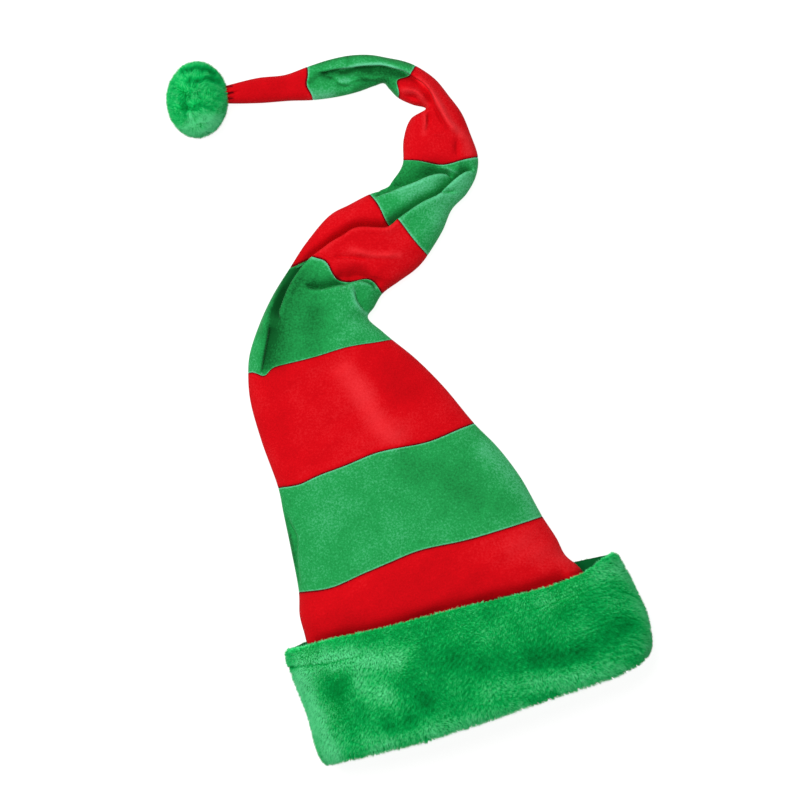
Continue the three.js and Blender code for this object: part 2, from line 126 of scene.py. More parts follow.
# Folds in the upper side: depth (negative stands up as a ridge), how steeply the flap on the left of the line
# rolls over, how far the valley on its right takes to recover, how far the flap bulges, how far it laps over
# the crease, and the line that its edge follows. The crease itself is hidden under the flap.
FOLD_FADE = 9
FOLD_HIDDEN = 0.75
FOLDS = (
    (7, 1.9, 7, 2.2, 1.8, ((-101, 31), (-97.4, 38.8), (-92, 49.4), (-86.6, 59.6), (-82, 68), (-80, 71.6))),
    (12, 1.4, 6, 0.8, 5, ((121, 151.5), (108.4, 148.6), (100.1, 145.4), (91, 141), (84.8, 137.7),
                         (80, 137), (71.8, 136), (63.5, 133.9), (54, 131), (45.6, 128), (36, 124.5),
                         (26.6, 127.2), (14.6, 131.2), (6, 131.4), (-1.7, 129), (-12.9, 126.4),
                         (-23.7, 122.6), (-37.4, 117.1), (-49.7, 109), (-59.6, 100.4), (-68.1, 90.4),
                         (-75.2, 80.6), (-78.6, 74.6))),
    (13, 1.4, 9, 0.6, 4.5, ((104.3, 147.1), (99, 151.5), (91.2, 154.6), (81.1, 155.2), (68.8, 153.7),
                           (56.8, 153), (43.3, 152), (32.5, 153))),
    (5, 1.2, 3, 0.3, 2, ((102.5, 134), (93, 134.3), (85.6, 136.6))),
    (4, 1.2, 2.5, 0.3, 2, ((109.2, 156.5), (110, 153), (111.1, 149))),
    (11, 1.5, 6, 1, 3, ((-9, 88), (-17, 88.4), (-25, 88.9), (-32.1, 89.6), (-38.7, 91.8), (-43.4, 97.2))),
    (7, 1.3, 7, 0.8, 4, ((15.2, 72.4), (11, 79.6), (3, 86), (-5.5, 87.8), (-14.6, 87.9))),
    (4, 1.4, 5, 0.8, 2, ((1.2, 55.6), (-2.7, 62.7), (-4.9, 69.5), (-4.6, 75.3), (-3.8, 80.3))),
    (4, 7, 2, 0, 0, ((-20, 95), (-10, 91), (3, 88.5), (11, 81))),
    (2.4, 1.5, 2.5, 0.3, 1, ((12.9, 100.8), (-3.2, 107.3), (-18.2, 111.5))),
    (-2, 3, 3, 0, 0, ((38.7, 96.1), (17.3, 103.1), (1.7, 111.5))),
    (-3, 2.5, 2.5, 0, 0, ((79.5, 230), (87.1, 227.7), (93.5, 223.6), (97.3, 216.5), (98, 210.9))),
    (4, 2.5, 2.5, 0, 0, ((81.3, 224.3), (88.6, 220.9), (94.8, 214.3))),
    (6, 1.4, 4, 0.5, 1.5, ((86, 243), (93.1, 235.5), (99.3, 228.9), (102.7, 220.7), (103.5, 213.4),
                         (103.1, 206.4))),
    (-4, 3, 3, 0, 0, ((96.5, 235.1), (102.8, 226.7), (106.6, 217.8), (108.1, 209), (109.9, 197.8),
                      (113.5, 186.1), (118.5, 179.2))),
    (3, 1.8, 1.8, 0, 0, ((103.9, 210.9), (105.1, 203.4), (106.4, 195.9), (108.4, 187))),
    (-3, 2, 2, 0, 0, ((94.5, 207.3), (92.7, 197.7), (88.4, 188.4))),
    (4, 2, 2, 0, 0, ((97.9, 206.8), (97, 200), (93.9, 193.8))),
    (-1.5, 1.5, 1.5, 0, 0, ((91.9, 189.1), (97.9, 185.5), (104.5, 179.9))),
    (2.5, 2.5, 2.5, 0, 0, ((115.1, 177.8), (112.1, 169.3), (109.9, 158.7))),
    (-4, 2, 2, 0, 0, ((93.2, 158.5), (99.9, 153.4), (106, 148))),
    (9, 1.3, 7, 0.6, 2.5, ((17, 261.5), (32.8, 260.6), (45.8, 258), (54, 256.8), (63.2, 254.5), (71.8, 251.8),
                           (79, 247.6), (88, 241.8), (94, 235))),
    (3, 1.3, 2, 0, 0, ((30, 261), (37, 259.5), (44.3, 257.2), (51.8, 252.7), (54.5, 246.9), (62.1, 242.9),
                       (68.1, 242.5))),
    (3, 1.5, 2, 0, 0, ((27.5, 256.8), (30.1, 250.8), (35.3, 246.1), (44.6, 243.8))),
    (-3, 3.5, 3.5, 0, 0, ((31.8, 252.7), (40.5, 248.4))),
    (4, 2, 2, 0, 0, ((63.2, 256.5), (61.7, 246.9))),
    (3, 2.5, 2.5, 0, 0, ((72.7, 241.8), (77.9, 230.5))),
    (-6, 4, 4, 0, 0, ((-61, 106), (-73, 95), (-84, 82), (-94, 66))),
    (3, 9, 9, 0, 0, ((-39.3, 78.2), (-47.7, 62.6), (-54.2, 47.4))),
    (2.5, 16, 20, 0, 0, ((-13, -61), (18, -97), (49, -133))),
    (-2, 14, 14, 0, 0, ((-37, 22), (-25, -12), (-6, -54))),
    (6, 1.2, 2.4, 0.4, 1.5, ((-118.4, -84), (-116.2, -98), (-114.9, -106.5), (-117, -114), (-118.9, -120),
                             (-121.4, -131), (-124.5, -146))),
    (8, 6, 7, 0, 0, ((98.8, -206.8), (80.2, -208.4), (48.7, -207.9), (13.1, -205.5), (-22.6, -203.7),
                     (-58.7, -202.9), (-98.7, -200.3), (-131.5, -196.5))),
    (2.2, 0.9, 0.9, 0, 0, ((-75, 274.5), (-64, 272.6), (-54, 271.4))),
    (2.2, 0.9, 0.9, 0, 0, ((-75, 270.6), (-62, 268.8), (-48, 267.8))),
    (2.2, 0.9, 0.9, 0, 0, ((-75, 267), (-64, 265.4), (-54, 264.8))),
)

# Where the nap has been stroked, and where light and shade are painted on: tone (pale is positive), how far
# it spreads, and the line of the stroke. Most strokes, as marked below, paint the light and shade of the
# folds; the rest are the nap's own tone.
VELOUR_NAP_LIGHT_AND_SHADE = (
    (0.55, 11, ((-33, 15), (-25, -5), (-23, -29), (-10, -52))),
    (-0.35, 15, ((5, 5), (14, -14))),
    (-0.1, 10, ((-97, 17), (-102, -20))),
    (-0.2, 17, ((0, -78), (30, -103), (55, -129))),
    (0.35, 11, ((60, -84), (76, -112), (88, -139))),
    (-0.1, 14, ((-108, -82), (-112, -130))),
    (-0.3, 26, ((-120, -180), (-60, -196), (0, -188))),
    (0.35, 18, ((70, -170), (95, -190))),
    # Painted light and shade of the folds, down to the stroke under the cuff's hem: dark strokes are painted
    # shade in valleys, hollows, gathers and along edges, pale ones painted highlights on ridges and flap
    # edges.
    (-0.9, 16, ((-50, 104), (-62, 92), (-73, 76), (-82, 60), (-88, 46))),
    (-0.4, 5, ((-50, 107), (-60, 98.5), (-69, 88), (-77, 76), (-82, 67))),
    (0.6, 2.5, ((-7.4, 77.4), (-8.9, 69), (-6.6, 61.6), (-1.1, 54.4))),
    (-0.4, 13, ((-52, 44), (-44, 72))),
    (0.3, 7, ((-104, 44), (-98, 60))),
    (-0.5, 5, ((-53.8, 107.1), (-66.3, 95.4), (-78, 79))),
    (0.4, 3, ((38.7, 96.1), (17.3, 103.1), (1.7, 111.5))),
    (-0.45, 7, ((55, 160), (66, 164), (76, 163), (84, 159.5))),
    (0.5, 2, ((93.2, 158.5), (99.9, 153.4), (106, 148))),
    (0.7, 3.5, ((98, 233), (106.6, 217.8), (109.9, 197.8), (118.5, 179.2))),
    (0.5, 2.5, ((79.5, 230), (93.5, 223.6), (98, 210.9))),
    (0.4, 2.5, ((94.5, 207.3), (92.7, 197.7), (88.4, 188.4))),
    (-0.5, 2, ((93.1, 235.5), (102.7, 220.7), (103.5, 213.4), (108.4, 187))),
    (0.4, 4, ((122, 174), (120, 160))),
    (-0.6, 5, ((54.6, 254.6), (66.5, 249.9), (78.2, 244.6), (84, 241.8))),
    (1.5, 1.6, ((37.5, 261.6), (52.8, 260.8), (71.4, 256.5), (79.9, 251.6), (90.6, 242.3))),
    (-0.7, 2, ((37.4, 259), (44.9, 258), (53.3, 256.6), (61.6, 254.6))),
    (-0.6, 3, ((44, 241.8), (53.5, 243.7), (62, 242.9), (68.6, 241))),
    (-0.6, 2.5, ((8.6, 258.7), (15.7, 261.9), (22.5, 262.4))),
    (-0.7, 1.4, ((25.6, 257.9), (30.4, 253.7), (31.9, 249.4), (39, 247.2), (47, 248.1), (55.4, 246.4))),
    (0.5, 2.5, ((45.7, 254.6), (51, 254))),
    (-0.5, 2.5, ((71.7, 241.6), (72.9, 234.6), (75.8, 226))),
    (-0.9, 2, ((14.5, 273), (32.3, 273), (49, 271), (68.8, 265), (88, 254.5), (96, 248.6))),
    (-0.4, 3, ((48, 271), (46, 267))),
    (0.6, 5, ((8.8, 246.4), (22.1, 242.9))),
    (-0.2, 14, ((0, 258), (-60, 268))),
    (-1.2, 1, ((-64, 275.2), (-55, 274))),
    (-1.2, 1, ((-65, 269.8), (-55.5, 268.6))),
    (-1.2, 1, ((-66, 265.2), (-57, 264))),
    (-0.45, 2, ((-118, -90), (-118.6, -97), (-119.4, -107), (-120.6, -119), (-122.2, -132), (-123.6, -142))),
    (-0.4, 2, ((-119.1, -103), (-119.4, -107), (-120.6, -119), (-121.8, -129))),
    # Painted shadow of the cuff's hem on the first band.
    (-1.2, 2, ((-133.6, -196.5), (-89.8, -201.5), (-36.3, -204.5), (20.6, -205.5), (78.4, -209.3),
               (107.6, -204.4))),
    # Painted highlight on a ridge of the eighth band.
    (0.5, 4, ((31.8, 252.7), (40.5, 248.4))),
    (0.5, 12, ((62, 143), (92, 148))),
    (0.4, 11, ((80, 118), (108, 138))),
)


def ease(value, low, high):
    """Smooth step from 0 at low to 1 at high."""
    share = np.clip((value - low) / (high - low), 0, 1)
    return share * share * (3 - 2 * share)


def rail(points, station):
    """A centripetal curve through every point, read at stations counted from the first point."""
    ends = np.vstack([2 * points[0] - points[1], points, 2 * points[-1] - points[-2]])
    whole = np.clip(np.floor(station).astype(int), 0, len(points) - 2)
    part = (station - whole)[:, None]
    p0, p1, p2, p3 = (ends[whole + k] for k in range(4))
    step = [np.sqrt(np.linalg.norm(b - a, axis=1))[:, None] for a, b in ((p0, p1), (p1, p2), (p2, p3))]
    d1 = np.where(step[1] < 1e-4, 1, step[1])
    d0 = np.where(step[0] < 1e-4, d1, step[0])
    d2 = np.where(step[2] < 1e-4, d1, step[2])
    t1 = ((p1 - p0) / d0 - (p2 - p0) / (d0 + d1) + (p2 - p1) / d1) * d1
    t2 = ((p2 - p1) / d1 - (p3 - p1) / (d1 + d2) + (p3 - p2) / d2) * d1
    bend = -3 * p1 + 3 * p2 - 2 * t1 - t2
    twist = 2 * p1 - 2 * p2 + t1 + t2
    return p1 + part * (t1 + part * (bend + part * twist))


def beside(path, x, y):
    """How far each place is from a line, whether on its left, how far from its ends, the way to its right."""
    path = np.array(path, float)
    runs = np.linalg.norm(np.diff(path, axis=0), axis=1)
    starts = np.concatenate([[0], np.cumsum(runs)])
    away = np.full(x.shape, np.inf)
    left = np.zeros(x.shape, bool)
    from_start = np.zeros(x.shape)
    right = np.zeros((*x.shape, 2))
    for (ax, ay), (bx, by), run, start in zip(path[:-1], path[1:], runs, starts):
        dx, dy = (bx - ax) / run, (by - ay) / run
        along = np.clip((x - ax) * dx + (y - ay) * dy, 0, run)
        ox, oy = x - ax - along * dx, y - ay - along * dy
        gap = np.hypot(ox, oy)
        nearer = gap < away
        away = np.where(nearer, gap, away)
        left = np.where(nearer, dx * oy - dy * ox >= 0, left)
        from_start = np.where(nearer, start + along, from_start)
        right[nearer] = dy, -dx
    return away, left, (from_start, starts[-1] - from_start), right


def fold_moves(x, y):
    """How the folds move the cloth at each place, aside over the crease and up or down, and their painted
    shade in the valleys and painted highlights along the flap edges.
    """
    moves = np.zeros((len(x), 4))
    for depth, flap, valley, lift, lap, path in FOLDS:
        line = np.array(path, float)
        line = rail(line, np.linspace(0, len(line) - 1, 4 * len(line)))
        low, high = line.min(axis=0) - 4 * max(flap, valley), line.max(axis=0) + 4 * max(flap, valley)
        near = np.flatnonzero((x > low[0]) & (x < high[0]) & (y > low[1]) & (y < high[1]))
        away, left, (from_start, from_end), right = beside(line, x[near], y[near])
        fade = 0.1 + 0.9 * ease(from_start, 0, FOLD_FADE) * ease(from_end, 0, FOLD_FADE)
        under = np.where(left, away, -away) - FOLD_HIDDEN * lap
        away = np.abs(under)
        steep = np.exp(-((away / flap) ** 2))
        slope = np.exp(-((away / valley) ** 1.5))
        bulge = lift * np.exp(-((away / flap - 3) / 1.6) ** 2)
        over = np.where(under > 0, lap * (1 - steep) * np.exp(-away / 6), 0)
        # Painted highlight along the flap's edge, and painted shade where the cloth runs down into the
        # crease.
        fold_shade_and_highlight = 0.09 * lap * np.exp(-(((away - 2.8) / 1.6) ** 2)) - 0.1 * depth * steep * (1 - lap / 5)
        moves[near, :2] += (fade * over)[:, None] * right
        moves[near, 2] += fade * np.where(under > 0, bulge - depth * steep, -depth * slope)
        # Painted shade down the valley.
        moves[near, 3] += fade * np.where(under > 0, fold_shade_and_highlight, -0.1 * depth * slope)
    return moves


def stroked(strokes, x, y):
    """Tone at each place from a table of strokes, which holds nap tone, painted light and painted shade."""
    tone = np.zeros(x.shape)
    for amount, reach, path in strokes:
        away, _, _, _ = beside(path, x, y)
        tone += amount * np.exp(-((away / reach) ** 2))
    return tone


def edged(nap, away):
    """Tone near an edge: paler along the green seams, painted shade along the red seams and sides."""
    amount, reach = nap
    return amount * np.exp(-((away / reach) ** 2))


def ripple(x, y, seed, lengths, size):
    """Slight waviness of slack cloth, as a few crossing waves."""
    random = np.random.default_rng(seed)
    waves = np.zeros(x.shape)
    for length in lengths:
        turn, phase = random.uniform(0, 2 * math.pi, 2)
        waves += np.sin(2 * math.pi * (x * math.cos(turn) + y * math.sin(turn)) / length + phase)
    return size * waves / math.sqrt(len(lengths))


def tube_height(across, upper, base, high):
    """Height of a tube of cloth lying flat: a low dome above, nearly flat below."""
    side = SIDE_LEVEL * high
    dome = side + (high - side) * np.sqrt(np.maximum(0, 1 - np.abs(across) ** DOME_POWER))
    belly = side * (1 - np.sqrt(np.maximum(0, 1 - np.abs(across) ** BELLY_POWER)))
    return base + np.where(upper, dome, belly)


def ring_places(steps, top):
    """Where the points of a ring lie: across from -1 to 1 and back, and whether on the upper side."""
    count = np.arange(steps + 1)
    over = count <= top
    across = np.where(
        over,
        np.sin(math.pi * (count / top - 0.5)),
        np.sin(math.pi * (0.5 - (count - top) / (steps - top))),
    )
    return across, over


sections = np.array([row for *_, rows in BANDS for row in rows], float)
seams = np.cumsum([0] + [len(rows) for *_, rows in BANDS]).astype(float)
seams[-1] -= 1


def crown_surface(station, across, upper, inset):
    """Places on the crown's cloth; inset draws them in toward the middle of the tube."""
    left = rail(sections[:, 0:2], station)
    right = rail(sections[:, 2:4], station)
    base, high = rail(sections[:, 4:6], station).T
    width = np.linalg.norm(right - left, axis=1)
    ahead = np.column_stack([left[:, 1] - right[:, 1], right[:, 0] - left[:, 0]]) / width[:, None]
    off_rim = 1 - across ** 16
    push = np.zeros(station.shape)
    for seam, at, rise, left_wide, right_wide in SEAM_WAVES:
        near = 1 - ease(np.abs(station - seams[seam]), 0, 1)
        wide = np.where(across < at, left_wide, right_wide)
        push += near * rise * np.exp(-(((across - at) / wide) ** 2)) * off_rim
    shift = push[:, None] * ahead
    flat = left + (right - left) * (0.5 + 0.5 * across)[:, None] + shift
    drawn = left + (right - left) * (0.5 + 0.5 * across * (1 - 2 * inset / width))[:, None] + shift
    room = tube_height(across, np.ones(across.shape, bool), 0, high) - SIDE_LEVEL * high
    slack = ripple(flat[:, 0], flat[:, 1], 7, (46, 38, 31, 25, 20, 16), 0.3)
    moves = np.where(upper, off_rim, 0)[:, None] * fold_moves(flat[:, 0], flat[:, 1])
    fold = np.maximum(moves[:, 2] + np.where(upper, slack * off_rim, 0), -0.8 * room)
    z = tube_height(across, upper, np.maximum(base, 0) + inset, high - 2 * inset) + fold
    return np.column_stack([drawn + moves[:, :2], z]), flat, moves[:, 3]


def grid_sheet(columns, rows):
    """A flat grid, and for each of its vertices the column and row that it stands in."""
    sheet = bmesh.new()
    bmesh.ops.create_grid(sheet, x_segments=columns, y_segments=rows, size=1)
    corners = np.array([v.co[:] for v in sheet.verts])
    column = np.rint((corners[:, 0] + 1) / 2 * columns).astype(int)
    row = np.rint((corners[:, 1] + 1) / 2 * rows).astype(int)
    return sheet, column, row


def make_piece(name, shape, material):
    """Turns a finished bmesh into a smooth-shaded object."""
    mesh = bpy.data.meshes.new(name)
    shape.to_mesh(mesh)
    shape.free()
    mesh.shade_smooth()
    mesh.materials.append(material)
    piece = bpy.data.objects.new(name, mesh)
    bpy.context.scene.collection.objects.link(piece)
    return piece


def linear(red, green, blue):
    """A colour read as 0 to 255 on a screen, as the light that the shader mixes."""
    share = (value / 255 for value in (red, green, blue))
    return (*(v / 12.92 if v <= 0.04045 else ((v + 0.055) / 1.055) ** 2.4 for v in share), 1)


def node(tree, kind, **sockets):
    """Adds a shader node and sets its named inputs; spaces in a socket's name are written as underscores."""
    made = tree.nodes.new(kind)
    for key, value in sockets.items():
        made.inputs[key.replace("_", " ")].default_value = value
    return made


def maths(tree, operation, first, second):
    """A maths node over sockets or plain numbers."""
    made = tree.nodes.new("ShaderNodeMath")
    made.operation = operation
    for socket, value in zip(made.inputs, (first, second)):
        if isinstance(value, bpy.types.NodeSocket):
            tree.links.new(value, socket)
        else:
            socket.default_value = value
    return made.outputs[0]


def velour(name, tones, rim, sheen, mottle, speckle):
    """Short-nap velour: patches where the nap lies one way or the other, flecks of lit fibre ends, and the
    tone of the 'nap' attribute, which carries the nap's strokes together with painted shade and painted
    highlights.
    """
    cloth = bpy.data.materials.new(name)
    cloth.use_nodes = True
    tree = cloth.node_tree
    shader = tree.nodes["Principled BSDF"]
    shader.inputs["Roughness"].default_value = 0.85
    shader.inputs["Specular IOR Level"].default_value = 0.05
    shader.inputs["Sheen Weight"].default_value = rim
    shader.inputs["Sheen Roughness"].default_value = 0.3
    shader.inputs["Sheen Tint"].default_value = sheen
    place = tree.nodes.new("ShaderNodeTexCoord").outputs["Object"]
    patches = node(tree, "ShaderNodeTexNoise", Scale=34, Detail=3, Roughness=0.55)
    flecks = node(tree, "ShaderNodeTexNoise", Scale=620, Detail=2, Roughness=0.6)
    fibres = node(tree, "ShaderNodeTexNoise", Scale=1500, Detail=2, Roughness=0.7)
    for texture in (patches, flecks, fibres):
        tree.links.new(place, texture.inputs["Vector"])
    nap = tree.nodes.new("ShaderNodeAttribute")
    nap.attribute_name = "nap"
    broad = maths(tree, "MULTIPLY_ADD", patches.outputs["Fac"], mottle)
    broad.node.inputs[2].default_value = 0.5 - mottle / 2
    toned = maths(tree, "MULTIPLY_ADD", nap.outputs["Fac"], 0.42)
    tree.links.new(broad, toned.node.inputs[2])
    lit = maths(tree, "MULTIPLY_ADD", flecks.outputs["Fac"], speckle)
    lit.node.inputs[2].default_value = -speckle / 2
    level = maths(tree, "ADD", toned, lit)
    ramp = tree.nodes.new("ShaderNodeValToRGB")
    for _ in tones[2:]:
        ramp.color_ramp.elements.new(0.5)
    for stop, position, tone in zip(ramp.color_ramp.elements, (0, 0.14, 0.5, 0.95), tones):
        stop.position = position
        stop.color = linear(*tone)
    tree.links.new(level, ramp.inputs["Fac"])
    tree.links.new(ramp.outputs["Color"], shader.inputs["Base Color"])
    height = maths(tree, "ADD", flecks.outputs["Fac"], fibres.outputs["Fac"])
    bump = node(tree, "ShaderNodeBump", Strength=0.35, Distance=0.0006)
    tree.links.new(height, bump.inputs["Height"])
    tree.links.new(bump.outputs["Normal"], shader.inputs["Normal"])
    return cloth


red_velour = velour(
    "red_velour", tones=((104, 2, 10), (172, 4, 12), (208, 6, 18), (236, 50, 56)),
    rim=0.04, sheen=(1, 0.3, 0.3, 1), mottle=0.35, speckle=0.45)
green_velour = velour(
    "green_velour", tones=((14, 92, 40), (22, 116, 54), (34, 155, 78), (100, 202, 150)),
    rim=0.25, sheen=(0.5, 1, 0.68, 1), mottle=0.32, speckle=0.75)

for count, (name, pitch, (lower, higher, tall), _) in enumerate(BANDS):
    first, last = seams[count], seams[count + 1]
    lengths = np.linspace(first, last, 40)
    edges = [rail(sections[:, k:k + 2], lengths) for k in (0, 2)]
    runs = [np.linalg.norm(np.diff(edge, axis=0), axis=1).sum() for edge in edges]
    widths = np.linalg.norm(edges[1] - edges[0], axis=1)
    top = int(1.5 * widths.max() / pitch)
    around = top + top // 3
    span = np.mean(runs)
    between = np.linspace(SEAM_ROWS[-1], span - SEAM_ROWS[-1], int(max(runs) / pitch))
    lengthwise = np.concatenate([SEAM_ROWS, between[1:-1], span - np.array(SEAM_ROWS[::-1])])
    cloth, column, row = grid_sheet(around, len(lengthwise) - 1)
    across, upper = ring_places(around, top)
    station = first + (last - first) * (SEAM_GAP / 2 + lengthwise[row] * (1 - SEAM_GAP / span)) / span
    from_seam = np.minimum(lengthwise, span - lengthwise)[row]
    inset = SEAM_TURN * np.exp(-from_seam / SEAM_SOFT)
    places, flat, fold_shade_and_highlight = crown_surface(station, across[column], upper[column], inset)
    # The 'nap' attribute carries the nap's own tone together with painted light and shade: the folds' painted
    # shade and highlights, the painted strokes of the table, and painted shade along the red bands' seams and
    # sides.
    tone = cloth.verts.layers.float.new("nap")
    on_top = np.where(upper[column], 1, across[column] ** UNDERSIDE_FADE)
    nap_light_and_shade = on_top * stroked(VELOUR_NAP_LIGHT_AND_SHADE, flat[:, 0], flat[:, 1])
    wide = np.interp(lengthwise, np.linspace(0, span, len(widths)), widths)[row]
    from_side = (1 - np.abs(across[column])) * wide / 2
    fold_shade_and_highlight = np.clip(fold_shade_and_highlight, -1.2, 0.7)
    if "green" in name:
        nap_light_and_shade += 0.8 * fold_shade_and_highlight + edged(GREEN_SEAM_TONE, from_seam)
    else:
        nap_light_and_shade += 0.6 * fold_shade_and_highlight + edged(RED_SEAM_SHADE, from_seam) + on_top * edged(RED_SIDE_SHADE, from_side)
    for vertex, where, shade in zip(cloth.verts, places * MM, nap_light_and_shade):
        vertex.co = where
        vertex[tone] = shade
    bmesh.ops.remove_doubles(cloth, verts=cloth.verts, dist=1e-6)
    bmesh.ops.recalc_face_normals(cloth, faces=cloth.faces)
    band = make_piece(name + "_cloth", cloth, red_velour if "red" in name else green_velour)
    wall = band.modifiers.new("cloth thickness", "SOLIDIFY")
    wall.thickness = VELOUR * MM
    wall.offset = -1
    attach(band, "root")
    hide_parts(name)

# Cuff
# A deep strip of plush turned up double round the mouth and sewn to the first band inside, its pile outward.
# A row of stitching holds its upper hem. The backing is padded cloth, and the pile stands on it as fibres.
MOUTH_Y = -303
CUFF_HEIGHT = 100
CUFF_INNER_HEIGHT = 60
CUFF_COLUMNS = 176
CUFF_TOP_COLUMNS = 110
CUFF_ROWS = 90
PILE_LENGTH = 3.7
PILE_WIDE = 0.5
PILE_LEAN = 0.6
PILE_LIE = math.radians(-80)
LOCK_PULL = 0.3
FRONT_PER_MM2 = 2.95
REST_PER_MM2 = 0.4

# The backing's section as a closed loop: height above the mouth, left and right edge, how far off the table
# and how tall. It goes from the upper hem down the outside, round the lower fold, up the inside to the sewn
# edge, and back between the two layers.
CUFF_LOOP = np.array((
    (97, -148.5, 137.5, 6, 64),
    (95, -150.3, 139.5, 4.4, 67),
    (88, -151.2, 141.3, 3.6, 69.2),
    (83, -150.4, 142.4, 3.6, 69.5),
    (78, -150, 144, 3.5, 71),
    (50, -147.5, 148.3, 3.5, 73),
    (22, -148.5, 146.6, 3.5, 72),
    (10, -147.5, 143.8, 4.5, 69.5),
    (4, -144, 139, 8.5, 60),
    (10, -139.5, 136, 12.5, 53),
    (22, -137.5, 134.5, 14.5, 51),
    (57, -131.5, 123.5, 16.5, 49),
    (59, -134, 126, 14, 54),
    (22, -141, 139, 11, 57.5),
    (13, -142.5, 141.5, 9.5, 60.5),
    (22, -144, 143.5, 8, 63),
    (90, -144.3, 136.5, 8, 61),
    (95.5, -145, 136, 7.2, 61.5),
), float)
HEM_STATION = 17.2
FOLD_STATION = 26
SEWN_STATION = 29.4

# How the edges wander: across from -1 to 1, the lower fold, and the upper hem of the front and back layers.
CUFF_EDGES = np.array((
    (-1, 2, 9, 11),
    (-0.75, 0, 9, 14),
    (-0.4, -2.5, 5, 13),
    (0, -1, 3, 12),
    (0.4, 1.5, -1.2, 11),
    (0.6, 2, -2.5, 11),
    (0.8, 2.5, -0.5, 10),
    (0.93, 6.5, 5.5, 9),
    (1, 11, 7, 8),
), float)

# Strokes in the pile, as in the velour's nap, with a painted light down the rounded right side among them;
# and the hem's stitching, which parts the pile most at the left.
CUFF_NAP_AND_LIGHT = (
    (1.2, 11, ((-136, -207), (-99, -218), (-64.7, -229))),
    (0.7, 10, ((-100, -235), (-90, -249), (-78, -256))),
    (1.1, 11, ((-143, -222), (-142, -244), (-141, -268), (-137, -290))),
    (0.6, 9, ((-100, -293), (-37, -297), (27, -302))),
    (-0.4, 8, ((-101, -225.4), (-112.4, -232.9), (-124.2, -241.9))),
    (-0.45, 10, ((-64.8, -249.2), (-56.8, -258.9), (-48.9, -268.6))),
    (-0.5, 7, ((-85.4, -281), (-71.6, -283.4), (-66.8, -279.5))),
    (-0.35, 16, ((-37, -228), (-3, -256), (40, -258))),
    (-0.55, 11, ((54, -267), (91, -267), (126, -259))),
    (0.35, 10, ((69, -220), (103, -213), (137, -208))),
    (0.2, 7, ((-14, -223), (20, -224), (50, -225))),
    (0.6, 10, ((8, -277), (54, -282), (116, -292))),
    # Painted light down the rounded right side.
    (0.5, 9, ((141, -212), (147, -240), (149, -265), (144, -288))),
)
STITCHING = ((-154, -209), (-130, -213.8), (-109, -216.5), (-29, -219), (50, -224), (100, -219), (144, -214))


def loop_rail(points, station):
    """A smooth closed curve through every point, read at stations counted from the first point."""
    whole = np.floor(station).astype(int)
    part = (station - whole)[:, None]
    p0, p1, p2, p3 = (points[(whole + k) % len(points)] for k in (-1, 0, 1, 2))
    t1, t2 = (p2 - p0) / 2, (p3 - p1) / 2
    bend = -3 * p1 + 3 * p2 - 2 * t1 - t2
    twist = 2 * p1 - 2 * p2 + t1 + t2
    return p1 + part * (t1 + part * (bend + part * twist))


def cuff_surface(station, across, upper):
    """Places on the cuff's backing."""
    y, left, right, base, high = loop_rail(CUFF_LOOP, station).T
    mouth, front, back = (np.interp(across, CUFF_EDGES[:, 0], CUFF_EDGES[:, k]) for k in (1, 2, 3))
    rim = 0.5 * np.abs(across) ** 12
    level = np.where(upper, 1 - rim, rim)
    hem = (back + (front - back) * level) * ease(y, CUFF_INNER_HEIGHT, CUFF_HEIGHT)
    y = MOUTH_Y + y + hem + mouth * (1 - ease(y, 0, CUFF_INNER_HEIGHT))
    x = left + (right - left) * (0.5 + 0.5 * across)
    z = tube_height(across, upper, base, high)
    z += np.where(upper, ripple(x, y, 11, (90, 70, 52, 40), 0.9) * (1 - across ** 8), 0)
    return np.column_stack([x, y, z])


def plant(places, out, wanted, seed):
    """Roots of pile over a grid of places, so many to the square millimetre, and which way is out there."""
    corners = places[:-1, :-1], places[:-1, 1:], places[1:, 1:], places[1:, :-1]
    outs = out[:-1, :-1], out[:-1, 1:], out[1:, 1:], out[1:, :-1]
    area = 0.5 * np.linalg.norm(np.cross(corners[2] - corners[0], corners[3] - corners[1]), axis=2)
    random = np.random.default_rng(seed)
    number = random.poisson(area * wanted[:-1, :-1])
    row, column = (np.repeat(index.ravel(), number.ravel()) for index in np.indices(number.shape))
    u, v = random.random((2, len(row), 1))
    shares = (1 - u) * (1 - v), u * (1 - v), u * v, (1 - u) * v
    roots = sum(share * corner[row, column] for share, corner in zip(shares, corners))
    away = sum(share * direction[row, column] for share, direction in zip(shares, outs))
    return roots, away / np.linalg.norm(away, axis=1)[:, None]


def comb(roots, away, lie, length, every, pull, seed):
    """Tips of the fibres: leaning the way the pile lies, then drawn together into small locks."""
    random = np.random.default_rng(seed)
    lie = lie - away * np.sum(lie * away, axis=1)[:, None]
    grow = away + lie + random.normal(0, 0.16, roots.shape)
    grow /= np.linalg.norm(grow, axis=1)[:, None]
    tips = roots + grow * (length * random.uniform(0.75, 1.1, len(roots)))[:, None]
    leaders = random.choice(len(roots), len(roots) // every, replace=False)
    locks = kdtree.KDTree(len(leaders))
    for count, leader in enumerate(leaders):
        locks.insert(roots[leader], count)
    locks.balance()
    lead = leaders[[locks.find(root)[1] for root in roots]]
    tips += pull * (tips[lead] - tips)
    tips[:, 2] = np.maximum(tips[:, 2], 0.4)
    return tips


